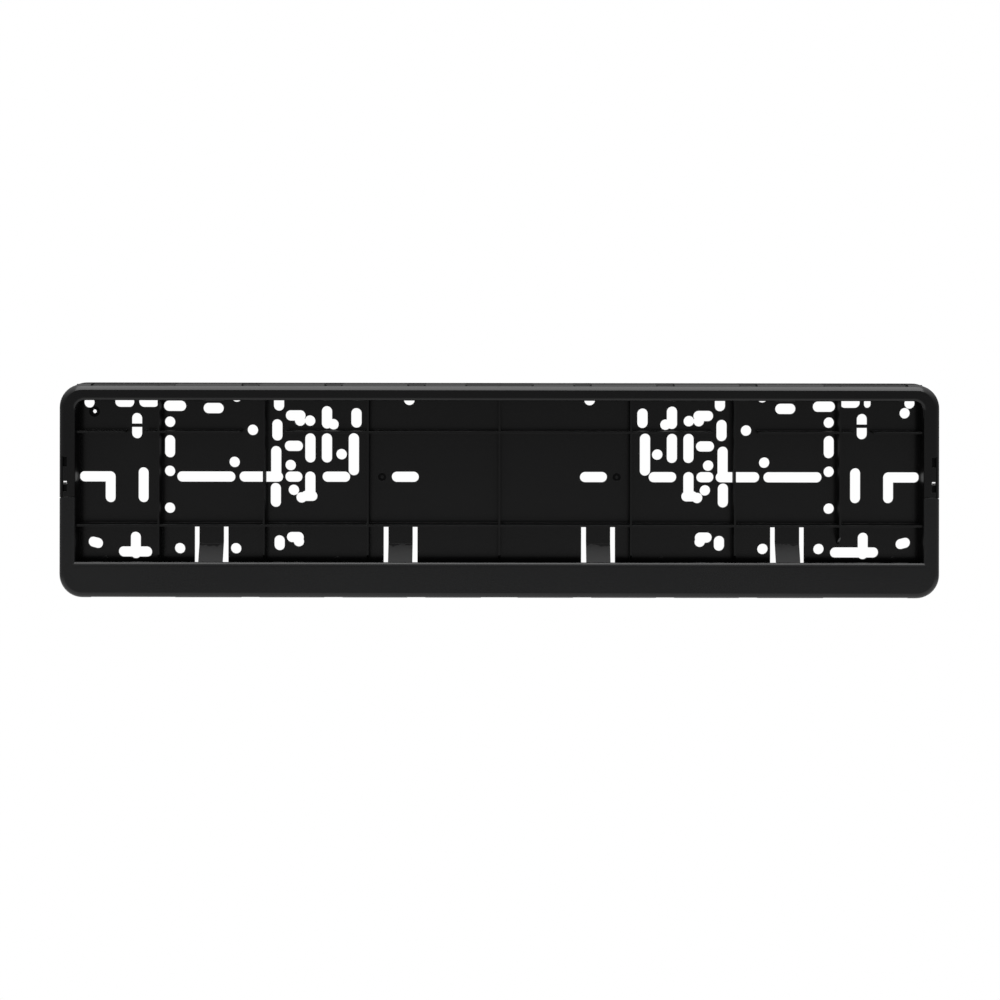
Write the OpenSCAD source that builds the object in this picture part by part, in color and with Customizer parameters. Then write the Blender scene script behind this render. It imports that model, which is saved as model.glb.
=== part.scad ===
// Number plate holder: a ribbed tray with the upper surround moulded on,
// and a lower flap that swings on two pegs and shuts over the plate's lower edge.
// The front faces -Y, +Z is up, and Y = 0 is the back that lies on the car.
// X = 0, Z = 0 is midway between the two middle fixing slots.

/* [Number plate] */
// Width of the plate that the holder takes
plate_w = 520; // [505:1:535]
// Height of the plate
plate_h = 110; // [108:1:114]
// Thickness of the plate
plate_t = 1; // [0.8:0.1:1.4]
// Play at each end of the plate
plate_play = 0.5; // [0.3:0.1:1]
// Height of the row of slots above the plate's middle
row_above_mid = 1.3; // [0:0.1:2.5]

/* [Surround] */
// How far the top bar covers the plate's upper edge
bar_overlap = 5.5; // [4:0.1:7]
// How far the strip covers the plate's lower edge
strip_overlap = 5.2; // [4:0.1:7]
// Width of the bars at the two ends
side_bar_w = 10.3; // [9.8:0.1:12]
// Height of the top bar
top_bar_h = 10.1; // [10:0.1:14]
// Height of the flap's strip
strip_h = 22.3; // [21.5:0.1:26]
// Depth from the front face to the back
depth = 16; // [15:0.5:19]
// Thickness of the surround's walls
wall = 1.8; // [1.5:0.1:2.1]
// Radius of the outer corners
corner_r = 14.5; // [13:0.5:16]
// Radius of the opening's upper corners
opening_r = 6; // [3:0.5:8]
// Width of the bevel round the front face
bevel_w = 3.3; // [2.5:0.1:4]
// Depth of that bevel
bevel_d = 3.2; // [2.5:0.1:4]
// Height of the rounding along the strip's upper edge
strip_round = 2.8; // [1.5:0.1:3.5]
// Width of the rounding along the opening's other three edges
bar_round = 2; // [1:0.1:2.5]
// How much wider the skirt grows towards the back
draft = 0.3; // [0.1:0.1:0.6]
// Depth of the recesses where they run out into the bevel
notch_deep = 1.2; // [0.8:0.1:1.3]
// Distance between the small recesses
notch_pitch = 51; // [50:0.2:52]

/* [Tray] */
// Thickness of the floor
floor_t = 2; // [1.6:0.1:2.4]
// Thickness of the ribs
rib_t = 1.2; // [0.8:0.1:1.6]
// Room in front of and behind the plate, between the lips and the ribs
plate_room = 0.8; // [0.5:0.1:1.2]
// Height of the upper long rib above the row of slots
upper_rib_z = 28.5; // [28:0.1:29]
// Depth of the lower long rib below the row of slots
lower_rib_z = 29; // [28:0.1:30]
// Diameter of the round holes
hole_d = 6.6; // [6:0.1:7]
// Width of the slots
slot_w = 6.5; // [6:0.1:7]
// Distance between the two middle slots
slot_pitch = 116.8; // [112:0.2:121]
// Length of each of the two middle slots
slot_len = 16.8; // [14:0.2:20]
// Distance across the four round corner holes
hole_pitch_x = 409; // [406:1:412]
// Distance up the four round corner holes
hole_pitch_z = 53.4; // [53:0.1:53.8]

/* [Tongues] */
// Width of each springy tongue
tongue_w = 15; // [12:0.5:18]
// Width of the slits beside a tongue
slit_w = 3; // [2.4:0.1:3.6]
// How far the tongue's foot stands forward of the floor
tongue_rise = 6.5; // [5:0.5:7.5]
// Height over which the tongue's ramp climbs
ramp_len = 14.5; // [12:0.5:16]
// Gap between the tongue's nose and the flap's catch ridge
catch_gap = 0.4; // [0.3:0.05:0.6]

/* [Hinge] */
// Height of the hinge axis above the row of slots
pivot_z = 1; // [0:0.1:2]
// Depth of the hinge axis behind the front face
pivot_back = 5.2; // [5.2:0.1:5.6]
// Radius of the hinge pegs
peg_r = 3; // [2.5:0.1:3.1]
// Running clearance round a peg
peg_play = 0.06; // [0.02:0.01:0.1]
// Thickness of the flap's arms
arm_t = 2.4; // [2:0.1:2.6]
// Gap between an arm and the walls beside it
arm_play = 0.4; // [0.3:0.05:0.5]
// Radius of the round joint line about the hinge axis
split_r = 12.8; // [12:0.1:13.5]
// Gap along that joint line
split_gap = 0.4; // [0.3:0.05:0.5]
// Largest angle that the flap opens to
open_max = 35; // [20:1:38]

/* [Hidden] */
$fn = 24;
tiny = 0.01;
far = 400;
edge_t = 0.4;
tongue_root_z = -lower_rib_z - 2;
ridge_h = 0.8;

// The opening and the outline
tray_w = plate_w + 2 * plate_play;
outer_w = tray_w + 2 * side_bar_w;
plate_mid = -row_above_mid;
opening_top = plate_mid + plate_h / 2 - bar_overlap;
opening_bottom = plate_mid - plate_h / 2 + strip_overlap;
outer_top = opening_top + top_bar_h;
outer_bottom = opening_bottom - strip_h;
corner_x = outer_w / 2 - corner_r;

// Depths, counted back from the front face at Y = -depth
front_y = -depth;
lip_back_y = front_y + wall;
rib_front_y = lip_back_y + plate_t + plate_room;
floor_y = -floor_t;
pivot_y = front_y + pivot_back;

// The tray's side walls and the channel in which the arms swing
tray_wall_x = tray_w / 2 + wall;
arm_x = tray_wall_x + arm_play;
channel_x = outer_w / 2 - wall;
tray_gap = 0.3;

// Windows in the side bar as [from z, to z], and the height of the open part of the lower one
window_w = 2.5;
window_x = arm_x + arm_t + 0.3;
upper_window = [7.5, 13.6];
lower_window = [-7.9, -1.3];
sight_h = 2.4;

// The tray's foot behind the strip
flap_inside_z = outer_bottom + wall;
tray_foot = flap_inside_z + 1.8;
tray_foot_r = 10;
side_wall_foot = tray_foot + tray_foot_r;

// Places along the tray, each used on both sides of the middle
rib_xs = [81, 145, tray_w / 2 - 50.7];
rib_out_at = -55;
rib_run_out = 8;
short_rib_out_at = -41;
short_rib_run_out = 5;
tongue_xs = [61.3, 178.6];
end_notch_in = 45.6;
hole_x = hole_pitch_x / 2;
hole_z = 34;
low_hole_z = hole_z - hole_pitch_z;

// X of a place that keeps its distance d from the left end of the tray
function in_from_end(d) = d - tray_w / 2;

// Round holes of the left half, as [x, z]
round_holes = [
    [-hole_x, hole_z], [-hole_x, 3.5], [-hole_x, low_hole_z],
    [in_from_end(5.9), 46], [-164.4, 9.1], [-153.1, 29], [-163.2, 49.7],
    [-123.8, 34.8], [-117.6, 34.8], [-129.6, 7.2], [-127.6, -8.2], [-122.8, -12.9],
    [-103.1, 32.6], [-98, 14], [-56, 47.8], [-124.5, -40.1],
    [-198.2, -44.5], [-163.4, -44.5]];

// Slots of the left half, as the two centres of their round ends [x, z, x, z]
mid_slot_reach = (slot_len - slot_w) / 2;
slots = [
    [in_from_end(3.1), 0, in_from_end(19.1), 0],
    [in_from_end(19.1), 0, in_from_end(19.1), -12.8],
    [in_from_end(39.6), 2.5, in_from_end(39.6), -12.8],
    [-hole_x, 22.5, -hole_x, 15.1],
    [-205.2, 43.9, -197.7, 43.9], [-180.6, 42.5, -174.4, 42.5],
    [in_from_end(39.9), 46.4, in_from_end(45.9), 46.4],
    [-196.9, 0, -167.1, 0], [-158.2, 0, -137.5, 0],
    [-137.9, 32.4, -137.9, 25.6], [-136.9, 52, -136.9, 44.2],
    [-138.6, 15.8, -138.6, 0], [-138.8, -7.1, -138.8, -15.6],
    [-130.1, 19.1, -125.2, 19.1], [-129.5, 38, -123.6, 38],
    [-129.7, 0, -125.5, 0],
    [-117.4, 0, -117.4, -11.2], [-119.9, -11.9, -116.2, -11.9],
    [-117.4, 23.7, -117.4, 12], [-107.1, 23.7, -107.1, 12],
    [-107.1, 40.6, -107.1, 33.1], [-90.4, 23.8, -90.4, 4.1],
    [-106.6, 0, -95.9, 0], [-88.8, 39.4, -88.8, 33.7],
    [-slot_pitch / 2 - mid_slot_reach, 0, -slot_pitch / 2 + mid_slot_reach, 0],
    [in_from_end(8.6), -40.6, in_from_end(11.3), -41.3],
    [in_from_end(34.8), -37.5, in_from_end(34.8), -47.6],
    [-136.4, -39.6, -136.4, -42.5], [-128.7, -37.5, -124.6, -37.5]];

// The upright slot near each end that a bar parts, both as [from z, to z]
split_slot_x = tray_w / 2 - 35.5;
split_slot = [26.9, 36.2];
split_bar = [30.8, 32.8];
gate_mark_x = 72.8;

// Where the upper long rib is left out beside the holes, as [from x, to x] on the left
rib_breaks = [[in_from_end(29.6), in_from_end(41.2)], [-159.6, -131.5]];

// Gives the children on the right as drawn and on the left as a mirror image
module both_sides() {
    children();
    mirror([1, 0, 0]) children();
}

// Stands a drawing in X and Z up as a solid from y_back forward by t
module standing(y_back, t) {
    translate([0, y_back, 0]) rotate([90, 0, 0]) linear_extrude(t) children();
}

// Stands a drawing in Y and Z up as a solid from x over a width w
module across(x, w) {
    translate([x, 0, 0]) rotate([90, 0, 90]) linear_extrude(w) children();
}

// A box given by its two corners
module block(low, high) {
    translate(low) cube(high - low);
}

// A slot through the floor between two centres
module slot_cut(x1, z1, x2, z2, w) {
    run = norm([x2 - x1, z2 - z1]);
    tilt = atan2(z2 - z1, x2 - x1);
    through = floor_t + 2;
    standing(1, through) translate([x1, z1]) rotate(tilt) circle(d = w);
    standing(1, through) translate([x2, z2]) rotate(tilt) circle(d = w);
    standing(1, through) translate([x1, z1]) rotate(tilt) translate([0, -w / 2]) square([run, w]);
}

// A round hole through the floor
module hole_cut(x, z, d) {
    standing(1, floor_t + 2) translate([x, z]) circle(d = d);
}

// Section of the skirt: across is the distance from a corner's axis, up is the distance forward
module skirt_section() {
    foot = [corner_r - draft, depth - bevel_d];
    tip = [corner_r - draft - bevel_w, depth];
    crown = 0.5;
    steps = 5;
    out = [foot[1] - tip[1], tip[0] - foot[0]] / -norm(tip - foot);
    bevel = [for (k = [0:steps]) let (t = k / steps) foot + (tip - foot) * t + out * crown * 4 * t * (1 - t)];
    polygon(concat(
        [[corner_r - wall, 0], [corner_r, 0]], bevel,
        [[tip[0] - 1.5, depth], [tip[0] - 1.5, depth - wall],
        [tip[0] + 0.6, depth - wall], [corner_r - wall, foot[1] - 0.4]]));
}

// One straight run of the skirt that faces the given way, about the middle [x, z] of its corners' line
module skirt_run(x, z, facing, run) {
    translate([x, 0, z]) rotate([90, 0, 0]) rotate([0, 0, facing]) translate([0, run / 2, 0])
        rotate([90, 0, 0]) linear_extrude(run) skirt_section();
}

// One rounded corner of the skirt, from the given direction on through a quarter turn
module skirt_corner(x, z, from) {
    translate([x, 0, z]) rotate([90, 0, 0]) rotate([0, 0, from]) rotate_extrude(angle = 90, $fn = 96) skirt_section();
}

// Outline of the flat front face, inside the bevel
module face_outline() {
    inset = draft + bevel_w + 1;
    r = corner_r - inset;
    for (x = [-corner_x, corner_x], z = [outer_bottom + corner_r, outer_top - corner_r])
        translate([x, z]) circle(r = r, $fn = 96);
    translate([-corner_x, outer_bottom + inset]) square([2 * corner_x, outer_top - outer_bottom - 2 * inset]);
    translate([-corner_x - r, outer_bottom + corner_r])
        square([2 * (corner_x + r), outer_top - outer_bottom - 2 * corner_r]);
}

// The hole in the flat front face, which stops short of the opening's rounded edges
module opening_outline() {
    half = tray_w / 2 + bar_round;
    r = opening_r + bar_round;
    low = opening_bottom - strip_round;
    high = opening_top + bar_round;
    translate([-half, low]) square([2 * half, high - r - low]);
    translate([-half + r, low]) square([2 * (half - r), high - low]);
    for (x = [-half + r, half - r])
        translate([x, high - r]) circle(r = r, $fn = 64);
}

// Section of a rounded edge whose tip lies at distance at; it turns from the front face to the back
module edge_section(at, high) {
    steps = 6;
    arc = [for (k = [0:steps]) let (a = 90 * k / steps) [at + high * (1 - sin(a)), depth - (wall - edge_t) * (1 - cos(a))]];
    polygon(concat([[at, depth - wall], [at + high + 0.2, depth - wall], [at + high + 0.2, depth]], arc));
}

// A straight rounded edge about [x, z], with its tip at the given distance in the direction that it lies in
module edge_run(x, z, towards, at, high, run) {
    translate([x, 0, z]) rotate([90, 0, 0]) rotate([0, 0, towards]) translate([0, run / 2, 0])
        rotate([90, 0, 0]) linear_extrude(run) edge_section(at, high);
}

// All rounded edges of the opening
module opening_edges() {
    half = tray_w / 2;
    corner_z = opening_top - opening_r;
    side_low = opening_bottom - strip_round;
    edge_run(0, corner_z, 90, opening_r, bar_round, 2 * (half - opening_r));
    edge_run(0, 0, 270, -opening_bottom, strip_round, 2 * (half + bar_round));
    edge_run(0, (corner_z + side_low) / 2, 0, half, bar_round, corner_z - side_low);
    edge_run(0, (corner_z + side_low) / 2, 180, half, bar_round, corner_z - side_low);
    for (side = [0, 1])
        translate([(1 - 2 * side) * (half - opening_r), 0, corner_z]) rotate([90, 0, 0]) rotate([0, 0, 90 * side])
            rotate_extrude(angle = 90, $fn = 64) edge_section(opening_r, bar_round);
}

// The whole surround as one ring, before it is parted at the joint line
module surround() {
    top_z = outer_top - corner_r;
    bottom_z = outer_bottom + corner_r;
    rise = top_z - bottom_z;
    top_middle_w = 42;
    foot_middle_w = 22.5;
    difference() {
        union() {
            standing(lip_back_y, wall) difference() {
                face_outline();
                opening_outline();
            }
            skirt_run(0, top_z, 90, 2 * corner_x);
            skirt_run(0, bottom_z, 270, 2 * corner_x);
            skirt_run(corner_x, (top_z + bottom_z) / 2, 0, rise);
            skirt_run(-corner_x, (top_z + bottom_z) / 2, 180, rise);
            skirt_corner(corner_x, top_z, 0);
            skirt_corner(-corner_x, top_z, 90);
            skirt_corner(-corner_x, bottom_z, 180);
            skirt_corner(corner_x, bottom_z, 270);
            opening_edges();
        }
        skirt_notches(outer_top, 1, notch_deep, top_middle_w);
        skirt_notches(outer_bottom, -1, notch_deep / 2, foot_middle_w);
    }
}

// One recess in the skirt, w wide about x: its floor slopes from the bevel back to the rear rim,
// and a short slit lies at each of its ends
module skirt_notch(x, w, edge_z, up, deep) {
    rim = 1.5;
    slit = 1.2;
    bevel_foot = front_y + bevel_d;
    across(x - w / 2, w) polygon([
        [front_y, edge_z - up * deep], [bevel_foot, edge_z - up * deep], [-rim, edge_z - up * deep / 4],
        [-rim, edge_z + up], [front_y, edge_z + up]]);
    if (up > 0)
        for (side = [-1, 1])
            translate([x + side * (w - slit) / 2, bevel_foot + 1.3, edge_z]) cube([slit, 4, 4 * wall], center = true);
}

// The recesses along one edge of the skirt; up is 1 along the top and -1 along the bottom
module skirt_notches(edge_z, up, deep, middle_w) {
    small_w = 11.3;
    end_w = 52.1;
    skirt_notch(0, middle_w, edge_z, up, deep);
    both_sides() {
        for (n = [1:3]) skirt_notch(n * notch_pitch, small_w, edge_z, up, deep);
        skirt_notch(outer_w / 2 - end_notch_in, end_w, edge_z, up, deep);
    }
}

// A round bar on the hinge axis from x over a width w
module on_axis(x, w, r, facets) {
    translate([x, pivot_y, pivot_z]) rotate([0, 90, 0]) cylinder(r = r, h = w, $fn = facets);
}

// Space above the joint line: all that is higher than the hinge axis, and a drum about that axis
module above_joint(r) {
    block([-far, -far, pivot_z], [far, far, far]);
    on_axis(-far, 2 * far, r, 144);
}

// Outline of the tray's floor
module floor_outline() {
    half = tray_wall_x - tiny;
    difference() {
        translate([-half, tray_foot]) square([2 * half, outer_top - wall / 2 - tray_foot]);
        for (side = [-1, 1]) {
            translate([side * half, tray_foot]) square(2 * tray_foot_r, center = true);
        }
    }
    for (side = [-1, 1])
        translate([side * (half - tray_foot_r), tray_foot + tray_foot_r]) circle(r = tray_foot_r);
}

// An upright rib at x: full height, then running out to the floor over the given height above out_at
module upright_rib(x, out_at, run_out) {
    across(x - rib_t / 2, rib_t) polygon([
        [floor_y + tiny, outer_top - wall / 2], [rib_front_y, outer_top - wall / 2],
        [rib_front_y, out_at + run_out], [floor_y - 0.6, out_at], [floor_y + tiny, out_at]]);
}

// A long rib that faces up and down, from x1 to x2
module long_rib(x1, x2, z) {
    block([x1, rib_front_y, z - rib_t / 2], [x2, floor_y + tiny, z + rib_t / 2]);
}

// Outline of a tongue in Y and Z: flat at the root, a ramp, then a straight foot with a small nose
module tongue_profile() {
    flat_len = 10.3;
    root = tongue_root_z;
    ramp_top = root - flat_len;
    ramp_foot = ramp_top - ramp_len;
    foot = flap_inside_z + ridge_h + catch_gap;
    y = floor_y - tongue_rise;
    polygon([
        [0, root], [floor_y, root], [floor_y, ramp_top], [y, ramp_foot], [y, foot + 1],
        [y + 0.6, foot], [y + floor_t + 0.5, foot], [y + floor_t, foot + 1.5],
        [y + floor_t, ramp_foot + 0.9], [0, ramp_top + 0.9]]);
}

// Everything that is cut out round a tongue
module tongue_cut(x) {
    wide = tongue_w + 2 * slit_w;
    block([x - wide / 2, floor_y - 1, tray_foot - 1], [x + wide / 2, 1, tongue_root_z]);
}

// One tongue at x
module tongue(x) {
    across(x - tongue_w / 2, tongue_w) tongue_profile();
}

// Pads between the side bar and the arm; each one closes the end of a window
module arm_pads() {
    pad_x = arm_x + arm_t + arm_play;
    pad_y = lip_back_y - tiny;
    pad_deep = 5;
    past_upper = 2;
    past_lower = 0.5;
    block([pad_x, pad_y, upper_window[0] - past_upper],
        [channel_x + tiny, pad_y + pad_deep, upper_window[1] + past_upper]);
    block([pad_x, pad_y, lower_window[0] - past_lower],
        [channel_x + tiny, pad_y + pad_deep, lower_window[1] - sight_h]);
}

// Windows in the side bar, and the gap in its outer wall that lets light through the lower one
module side_windows() {
    for (window = [upper_window, lower_window])
        block([window_x, front_y - 1, window[0]], [window_x + window_w, lip_back_y, window[1]]);
    gap_front = front_y + bevel_d + 1.8;
    block([channel_x - tiny, gap_front, lower_window[1] - sight_h], [outer_w / 2 + 1, 1, lower_window[1]]);
}

// The tray with its ribs, tongues and the upper part of the surround
module base() {
    color("#1d1e20") difference() {
        union() {
            intersection() {
                surround();
                above_joint(split_r);
            }
            tray();
            intersection() {
                both_sides() block([tray_w / 2, lip_back_y - edge_t, -far], [tray_wall_x, 0, opening_top]);
                above_joint(split_r);
            }
            both_sides() arm_pads();
        }
        both_sides() side_windows();
        both_sides() on_axis(tray_w / 2 - 1, wall + 2, peg_r + peg_play, 72);
    }
}

// The tray by itself
module tray() {
    difference() {
        union() {
            standing(0, floor_t) floor_outline();
            both_sides() block([tray_w / 2, lip_back_y + tray_gap, side_wall_foot], [tray_wall_x, 0, outer_top - wall - 2]);
            for (x = rib_xs) upright_rib(-x, rib_out_at, rib_run_out);
            for (x = [0, rib_xs[0], rib_xs[1]]) upright_rib(x, rib_out_at, rib_run_out);
            upright_rib(rib_xs[2], short_rib_out_at, short_rib_run_out);
            long_rib(-tray_w / 2 - tiny, tray_w / 2 + tiny, -lower_rib_z);
            upper_rib();
            low_pads();
        }
        floor_cuts();
    }
    both_sides() for (x = tongue_xs) tongue(x);
    split_slot_bars();
}

// The upper long rib with its breaks
module upper_rib() {
    difference() {
        long_rib(-tray_w / 2 - tiny, tray_w / 2 + tiny, upper_rib_z);
        both_sides() for (gap = rib_breaks)
            block([-gap[1], rib_front_y - 1, upper_rib_z - rib_t], [-gap[0], floor_y, upper_rib_z + rib_t]);
    }
}

// Small round pads low on the floor
module low_pads() {
    pad_z = -50.9;
    pad_d = 3.4;
    both_sides() for (x = [100.5, tray_w / 2 - 16.4])
        standing(floor_y + tiny, 1) translate([x, pad_z]) circle(d = pad_d);
}

// Every hole, slot and slit in the floor
module floor_cuts() {
    foot_slot_z = -46.6;
    both_sides() {
        for (h = round_holes) hole_cut(-h[0], h[1], hole_d);
        for (s = slots) slot_cut(-s[0], s[1], -s[2], s[3], slot_w);
        slot_cut(split_slot_x, split_slot[1], split_slot_x, split_slot[0], slot_w);
        for (x = tongue_xs) tongue_cut(x);
        gate_mark(gate_mark_x, 0);
    }
    slot_cut(in_from_end(25), 46.4, in_from_end(30.6), 46.4, slot_w);
    slot_cut(-in_from_end(32.1), 46.8, -in_from_end(32.1), 45.4, 4.4);
    slot_cut(in_from_end(27.4), foot_slot_z, in_from_end(41.8), foot_slot_z, slot_w);
    slot_cut(-in_from_end(28.4), foot_slot_z, -in_from_end(52), foot_slot_z, slot_w);
    hole_cut(-in_from_end(8.9), 39.9, hole_d);
    sunk_hole(in_from_end(9.2), 40.4);
}

// A small hole at the bottom of a round sink
module sunk_hole(x, z) {
    sink_left = 0.8;
    hole_cut(x, z, 2.4);
    standing(floor_y + sink_left, 2) translate([x, z]) circle(d = hole_d);
}

// A shallow moulded ring on the floor
module gate_mark(x, z) {
    ring_deep = 0.5;
    standing(floor_y + ring_deep, 2) translate([x, z]) difference() {
        circle(d = 5);
        circle(d = 2);
    }
}

// Bars that part the split slots
module split_slot_bars() {
    both_sides() block([split_slot_x - slot_w, floor_y, split_bar[0]], [split_slot_x + slot_w, 0, split_bar[1]]);
}

// The flap: strip, lower side bars, arms and pegs
module flap() {
    color("#222326") difference() {
        union() {
            difference() {
                union() {
                    surround();
                    both_sides() arm_rib();
                    strip_gussets();
                    catch_ridges();
                }
                above_joint(split_r + split_gap);
            }
            both_sides() arm();
            both_sides() on_axis(tray_w / 2, arm_x - tray_w / 2 + tiny, peg_r, 72);
        }
        gate_dimple();
    }
}

// Upright rib in the side bar that carries the arm
module arm_rib() {
    back = -0.6;
    foot = outer_bottom + corner_r;
    across(arm_x, arm_t) polygon([
        [lip_back_y - tiny, 0], [back, 0], [back, foot + 6], [back - 5, foot], [lip_back_y - tiny, foot]]);
    across(arm_x, channel_x - arm_x + tiny) polygon([
        [lip_back_y - tiny, foot + 1], [back - 6, foot + 1], [back - 6, foot + 2.4], [lip_back_y - tiny, foot + 2.4]]);
}

// The arm between the peg and the rib, set back so that it clears the front wall when open
module arm() {
    hub = peg_r;
    along = [sin(open_max), -cos(open_max)];
    aside = [-cos(open_max), -sin(open_max)];
    reach = split_r + 3;
    front_end = aside * hub + along * reach;
    back = -0.6 - pivot_y;
    across(arm_x, arm_t) translate([pivot_y, pivot_z]) {
        circle(r = hub, $fn = 72);
        polygon([[0, 0], aside * hub, front_end, [back, -reach], [back, -9], [hub * 0.87, hub * 0.5]]);
    }
}

// Ribs behind the strip
module strip_gussets() {
    gusset_t = 1.4;
    top = plate_mid - plate_h / 2 - 0.6;
    both_sides() for (x = [20, 100, 140, 218])
        across(x - gusset_t / 2, gusset_t) polygon([
            [lip_back_y - tiny, top], [rib_front_y, top], [front_y + depth * 0.45, flap_inside_z - tiny],
            [lip_back_y - tiny, flap_inside_z - tiny]]);
}

// Low ridges on the flap's foot, just behind the tongues' noses
module catch_ridges() {
    y = floor_y - tongue_rise + floor_t + 1;
    both_sides() for (x = tongue_xs)
        across(x - tongue_w / 2, tongue_w) polygon([
            [y, flap_inside_z - tiny], [y + 0.5, flap_inside_z + ridge_h], [y + 1.1, flap_inside_z + ridge_h],
            [y + 2, flap_inside_z - tiny]]);
}

// Tiny moulding mark on the strip's face
module gate_dimple() {
    below_edge = 10.7;
    standing(front_y + 0.3, 1) translate([-3.9, opening_bottom - below_edge]) circle(d = 1.3);
}

base();
flap();
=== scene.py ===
import math
import bpy
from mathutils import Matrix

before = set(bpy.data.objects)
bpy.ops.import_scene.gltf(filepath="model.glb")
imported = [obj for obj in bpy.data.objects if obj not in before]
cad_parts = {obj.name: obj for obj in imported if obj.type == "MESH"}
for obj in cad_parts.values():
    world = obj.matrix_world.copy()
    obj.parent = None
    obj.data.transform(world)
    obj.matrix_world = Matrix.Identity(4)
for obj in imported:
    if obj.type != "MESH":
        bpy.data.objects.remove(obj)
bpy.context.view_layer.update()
print("frame loaded:", ", ".join(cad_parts))

scene = bpy.context.scene
scene.view_settings.view_transform = "Standard"

maskEdge = 0.0001     # how far a finish fades at its limits, in metres


class Wire:
    # one socket of a node tree; an expression on wires adds its Math nodes
    def __init__(self, tree, socket=None):
        self.tree = tree
        self.socket = socket

    def add(self, kind, settings=None, values=None, out=0):
        # settings go in first, because some of them decide which sockets there are
        node = self.tree.nodes.new(kind)
        for name, value in (settings or {}).items():
            if name == "stops":
                while len(node.color_ramp.elements) < len(value):
                    node.color_ramp.elements.new(0.5)
                for element, (place, grey) in zip(node.color_ramp.elements, value):
                    element.position = place
                    element.color = (grey, grey, grey, 1)
            else:
                setattr(node, name, value)
        for key, value in (values or {}).items():
            if isinstance(value, Wire):
                self.tree.links.new(value.socket, node.inputs[key])
            else:
                node.inputs[key].default_value = value
        return Wire(self.tree, node.outputs[out] if node.outputs else None)

    def maths(self, operation, *values):
        return self.add("ShaderNodeMath", {"operation": operation}, dict(enumerate(values)))

    def __add__(self, other):
        return self.maths("ADD", self, other)

    def __radd__(self, other):
        return self.maths("ADD", other, self)

    def __sub__(self, other):
        return self.maths("SUBTRACT", self, other)

    def __rsub__(self, other):
        return self.maths("SUBTRACT", other, self)

    def __mul__(self, other):
        return self.maths("MULTIPLY", self, other)

    def __rmul__(self, other):
        return self.maths("MULTIPLY", other, self)

    def __abs__(self):
        return self.maths("ABSOLUTE", self)

    def most(self, *others):
        # the highest of this wire and the others
        highest = self
        for other in others:
            highest = self.maths("MAXIMUM", highest, other)
        return highest

    def axes(self):
        # x, y and z of a vector
        split = self.add("ShaderNodeSeparateXYZ", None, {0: self}).socket.node
        return [Wire(self.tree, output) for output in split.outputs]

    def rises(self, low, high):
        # 0 below low, 1 above high, smooth between them
        return self.add("ShaderNodeMapRange", {"interpolation_type": "SMOOTHSTEP"},
                        {"Value": self, "From Min": low, "From Max": high})

    def within(self, limits):
        # 1 between the limits
        low, high = limits
        return self.rises(low - maskEdge, low) * (1 - self.rises(high, high + maskEdge))

    def noise(self, size, detail, stretch=(1, 1, 1)):
        # cloudy values from 0 to 1 with blobs of about the given size in metres
        scaled = self.add("ShaderNodeMapping", None, {"Vector": self, "Scale": stretch})
        return self.add("ShaderNodeTexNoise", None, {"Vector": scaled, "Scale": 1 / size, "Detail": detail})

    def mix(self, low, high):
        # a colour between two colours or colour wires, by this wire
        low, high = [end if isinstance(end, Wire) else (*end, 1) for end in (low, high)]
        return self.add("ShaderNodeMix", {"data_type": "RGBA"}, {0: self, 6: low, 7: high}, 2)


def emptyTree(owner):
    # the node tree of a material or the world, with nothing in it yet
    owner.use_nodes = True
    owner.node_tree.nodes.clear()
    return Wire(owner.node_tree)


def mouldedSkin(place, look):
    # clouds of tone, an uneven shine, and the normal of softened edges, flow marks and grain
    clouds = place.noise(look["cloudSize"], detail=3)
    streaks = place.noise(look["flowSize"], detail=4, stretch=look["flowStretch"])
    grain = place.noise(look["grainSize"], detail=1)
    uneven = (streaks - 0.5) * look["flowSpread"] + (grain - 0.5) * look["grainSpread"]
    edges = place.add("ShaderNodeBevel", {"samples": 6}, {"Radius": look["edgeRadius"]})
    flow = place.add("ShaderNodeBump", None, {"Strength": 0.4, "Distance": look["flowHeight"],
                                              "Height": streaks, "Normal": edges})
    skin = place.add("ShaderNodeBump", None, {"Strength": 0.5, "Distance": look["grainHeight"],
                                              "Height": grain, "Normal": flow})
    return clouds, uneven, skin


# painted shade: a near-black, barely shiny sheet laid on deep and steep places, where shade falls
paintedShadeFinish = {"Base Color": (0.0003, 0.0003, 0.0004, 1), "Roughness": 0.5, "Specular IOR Level": 0.08}


def plasticShader(colour, roughness, skin, paintedShade):
    # paintedShade is 1 where the painted shade replaces the plastic
    plastic = paintedShade.add("ShaderNodeBsdfPrincipled", None,
                       {"Base Color": colour, "Roughness": roughness, "Normal": skin})
    paintedShadeShader = paintedShade.add("ShaderNodeBsdfPrincipled", None, paintedShadeFinish)
    both = paintedShade.add("ShaderNodeMixShader", None, {0: paintedShade, 1: plastic, 2: paintedShadeShader})
    paintedShade.add("ShaderNodeOutputMaterial", None, {"Surface": both})


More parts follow.
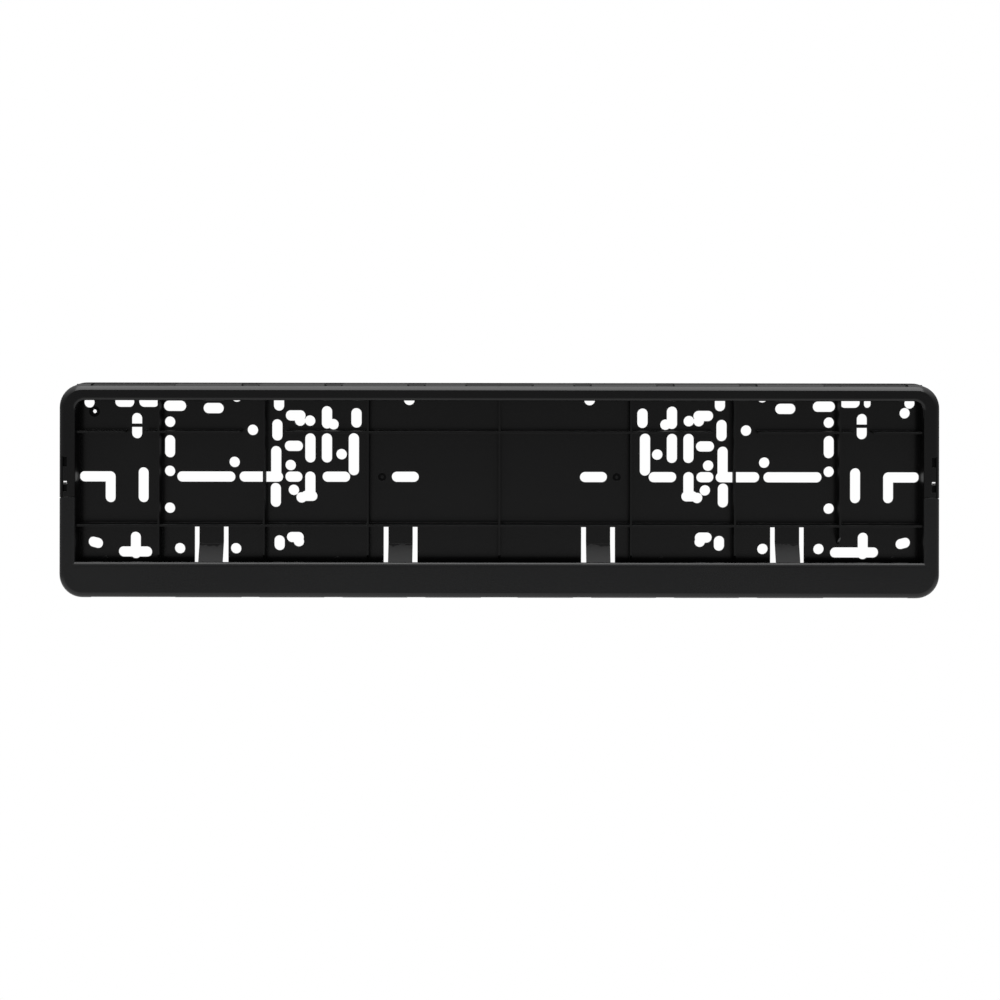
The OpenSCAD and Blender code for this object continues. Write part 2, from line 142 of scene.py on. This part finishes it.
# the tray's black plastic; across is measured from the middle, depth to the car and up from the slots
trayLook = {
    "floorColour": ((0.0004, 0.0004, 0.0005), (0.0010, 0.0010, 0.0011)),
    "rimColour": ((0.0008, 0.0008, 0.0009), (0.0016, 0.0016, 0.0018)),
    "matColour": (0.0040, 0.0042, 0.0046),    # the tongues' matt ramps
    "floorRoughness": 0.21,
    "rimRoughness": 0.18,
    "matRoughness": 0.55,
    "cloudSize": 0.045,
    "flowSize": 0.030,
    "flowStretch": (0.35, 1, 1),              # the flow marks are long across
    "flowHeight": 0.00010,
    "flowSpread": 0.06,                       # how much they change the roughness
    "grainSize": 0.0005,
    "grainHeight": 0.000012,
    "grainSpread": 0.03,
    "edgeRadius": 0.00012,
    "insideAcross": (0.2601, 0.2603),         # from the tray to the end walls
    "insideDepth": (-0.0131, -0.0127),        # from the surround to the fronts of the ribs
    "tongues": (0.0613, 0.1786),              # middles of the tongues
    "tongueHalf": 0.0076,
    "rampTop": -0.0413,                       # where a tongue starts to slope forward
    "rampFade": 0.0002,
    "matTop": -0.0420,                        # about where it turns matt, along a wavy line
    "waveSize": 0.004,
    "waveHeight": 0.006,
    # how strongly the painted shade covers the places where it is laid
    "paintedShadeShare": 0.85,
    "frontFacing": (0.3, 0.6),                # from steep faces to those that look forward
    "sinkDepth": (-0.0018, -0.0009),          # the marks sunk in the floor
    "wallAcross": (0.2602, 0.2608),           # the inner faces of the end walls
    "wallDepth": (-0.0141, 0.0010),
    "hollowAcross": (0.2612, 0.2690),         # inside the end bars, down to the joint
    "hollowUp": (-0.0122, 0.0140),
    "hollowDepth": (-0.0156, 0.0010),
}


def trayPlastic(look):
    material = bpy.data.materials.new("trayPlastic")
    start = emptyTree(material)
    place = start.add("ShaderNodeTexCoord", out="Object")
    facing = start.add("ShaderNodeTexCoord", out="Normal")
    clouds, uneven, skin = mouldedSkin(place, look)
    x, y, z = place.axes()
    across = abs(x)
    # 1 inside the tray, 0 on the surround
    inside = (1 - across.rises(*look["insideAcross"])) * y.rises(*look["insideDepth"])
    # the tongues' ramps are matt below a wavy line
    matEdge = (place.noise(look["waveSize"], detail=1) - 0.5) * look["waveHeight"] + look["matTop"]
    below = (matEdge - z).rises(-maskEdge, maskEdge)
    near, far = [look["tongueHalf"] - abs(across - middle) for middle in look["tongues"]]
    tongue = near.most(far).rises(-maskEdge, maskEdge) * inside
    ramp = below * tongue
    rampTopShade = (1 - below) * (look["rampTop"] - z).rises(0, look["rampFade"]) * tongue
    tone = inside.mix(clouds.mix(*look["rimColour"]), clouds.mix(*look["floorColour"]))
    colour = ramp.mix(tone, look["matColour"])
    roughness = inside * (look["floorRoughness"] - look["rimRoughness"]) + look["rimRoughness"]
    roughness = roughness + ramp * (look["matRoughness"] - look["floorRoughness"]) + uneven
    # painted shade on the steep sides of ribs and walls, the marks sunk in the floor, the tops of the
    # tongues' ramps and the insides of the end bars, where shade falls
    wall = across.within(look["wallAcross"]) * y.within(look["wallDepth"])
    steep = inside.most(wall) * (1 - abs(facing.axes()[1]).rises(*look["frontFacing"]))
    sunk = inside * y.within(look["sinkDepth"])
    hollowShade = across.within(look["hollowAcross"]) * y.within(look["hollowDepth"]) * z.within(look["hollowUp"])
    paintedShade = steep.most(hollowShade, sunk, rampTopShade) * look["paintedShadeShare"]
    plasticShader(colour, roughness, skin, paintedShade)
    return material


# the flap's black plastic
flapLook = {
    "colour": ((0.0029, 0.0031, 0.0034), (0.0041, 0.0043, 0.0046)),
    "roughness": 0.27,
    "cloudSize": 0.050,
    "flowSize": 0.040,
    "flowStretch": (0.3, 1, 1),
    "flowHeight": 0.00008,
    "flowSpread": 0.12,
    "grainSize": 0.0005,
    "grainHeight": 0.000014,
    "grainSpread": 0.06,
    "edgeRadius": 0.0001,
    "jointUp": (-0.0125, -0.0100),            # the edge that meets the upper end bars
    "jointDepth": (-0.0157, 0.0010),
    "upFacing": (0.3, 0.6),                   # from steep faces to those that look up
}


def flapPlastic(look):
    material = bpy.data.materials.new("flapPlastic")
    start = emptyTree(material)
    place = start.add("ShaderNodeTexCoord", out="Object")
    facing = start.add("ShaderNodeTexCoord", out="Normal")
    clouds, uneven, skin = mouldedSkin(place, look)
    y, z = place.axes()[1:]
    # painted shade on the face of the joint, in the gap where the flap meets the upper end bars
    joint = z.within(look["jointUp"]) * y.within(look["jointDepth"])
    paintedShade = joint * facing.axes()[2].rises(*look["upFacing"])
    plasticShader(clouds.mix(*look["colour"]), uneven + look["roughness"], skin, paintedShade)
    return material


def dress(node, material):
    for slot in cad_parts[node].material_slots:
        slot.material = material


dress("base", trayPlastic(trayLook))
dress("flap", flapPlastic(flapLook))
print("plastic on both mouldings")


studio = {
    "floorDrop": 0.45,             # floor below the row of slots
    "floorReach": 1.5,
    "paperColour": (0.5, 0.5, 0.5, 1),
    "lampSize": (2.0, 1.2),
    "lampPlace": (0, -0.6, 1.3),
    "lampWatts": 18,
    # brightness of the room by height: 0 is straight down, 0.5 the horizon, 1 straight up
    "room": ((0.0, 0.45), (0.41, 0.22), (0.45, 0.19), (0.475, 0.12),
             (0.52, 0.15), (0.66, 0.30), (0.85, 1.1), (1.0, 1.5)),
    "white": (1, 1, 1, 1),
    "glossyShare": 0.08,           # how much of the white backdrop the plastic mirrors
    "cameraLens": 71.24,
    "cameraShift": -0.22855,       # the camera looks level, and its frame is moved down
    "cameraPlace": (0.0002, -1.230, 0.1276),
    "cameraTurn": (90, -0.08, 0),  # degrees
}


def whiteSeen(start, look):
    # 1 where the camera sees the white backdrop, and a share where the plastic mirrors it
    camera = start.add("ShaderNodeLightPath", out="Is Camera Ray")
    glass = start.add("ShaderNodeLightPath", out="Is Transmission Ray")
    mirror = start.add("ShaderNodeLightPath", out="Is Glossy Ray")
    return camera.most(glass, mirror * look["glossyShare"])


def buildWorld(look):
    world = bpy.data.worlds.new("studioRoom")
    scene.world = world
    start = emptyTree(world)
    heading = start.add("ShaderNodeTexCoord", out="Generated")
    height = heading.axes()[2] * 0.5 + 0.5
    room = start.add("ShaderNodeValToRGB", {"stops": look["room"]}, {0: height})
    roomLight = start.add("ShaderNodeBackground", None, {"Color": room, "Strength": 1})
    backdrop = start.add("ShaderNodeBackground", None, {"Color": look["white"], "Strength": 1})
    both = start.add("ShaderNodeMixShader", None, {0: whiteSeen(start, look), 1: roomLight, 2: backdrop})
    start.add("ShaderNodeOutputWorld", None, {"Surface": both})


def floorPaper(look):
    material = bpy.data.materials.new("palePaper")
    start = emptyTree(material)
    paper = start.add("ShaderNodeBsdfDiffuse", None, {"Color": look["paperColour"]})
    backdrop = start.add("ShaderNodeEmission", None, {"Color": look["white"], "Strength": 1})
    above = start.add("ShaderNodeMixShader", None, {0: whiteSeen(start, look), 1: paper, 2: backdrop})
    # a look from below passes through the paper
    under = start.add("ShaderNodeNewGeometry", out="Backfacing")
    clear = start.add("ShaderNodeBsdfTransparent")
    both = start.add("ShaderNodeMixShader", None, {0: under, 1: above, 2: clear})
    start.add("ShaderNodeOutputMaterial", None, {"Surface": both})
    return material


def buildFloor(look):
    reach = look["floorReach"]
    drop = -look["floorDrop"]
    corners = [(-reach, -reach, drop), (reach, -reach, drop), (reach, reach, drop), (-reach, reach, drop)]
    mesh = bpy.data.meshes.new("paleFloor")
    mesh.from_pydata(corners, [], [(0, 1, 2, 3)])
    mesh.materials.append(floorPaper(look))
    floor = bpy.data.objects.new("paleFloor", mesh)
    scene.collection.objects.link(floor)


def buildLamp(look):
    data = bpy.data.lights.new("softBox", "AREA")
    data.shape = "RECTANGLE"
    data.size, data.size_y = look["lampSize"]
    data.energy = look["lampWatts"]
    lamp = bpy.data.objects.new("softBox", data)
    lamp.location = look["lampPlace"]
    lamp.rotation_euler = lamp.location.to_track_quat("Z", "Y").to_euler()   # it shines at the slots
    scene.collection.objects.link(lamp)


def buildCamera(look):
    data = bpy.data.cameras.new("camera")
    data.lens = look["cameraLens"]
    data.shift_y = look["cameraShift"]
    camera = bpy.data.objects.new("camera", data)
    camera.location = look["cameraPlace"]
    camera.rotation_euler = [math.radians(angle) for angle in look["cameraTurn"]]
    scene.collection.objects.link(camera)
    scene.camera = camera


buildWorld(studio)
buildFloor(studio)
buildLamp(studio)
buildCamera(studio)
print("studio and camera ready")
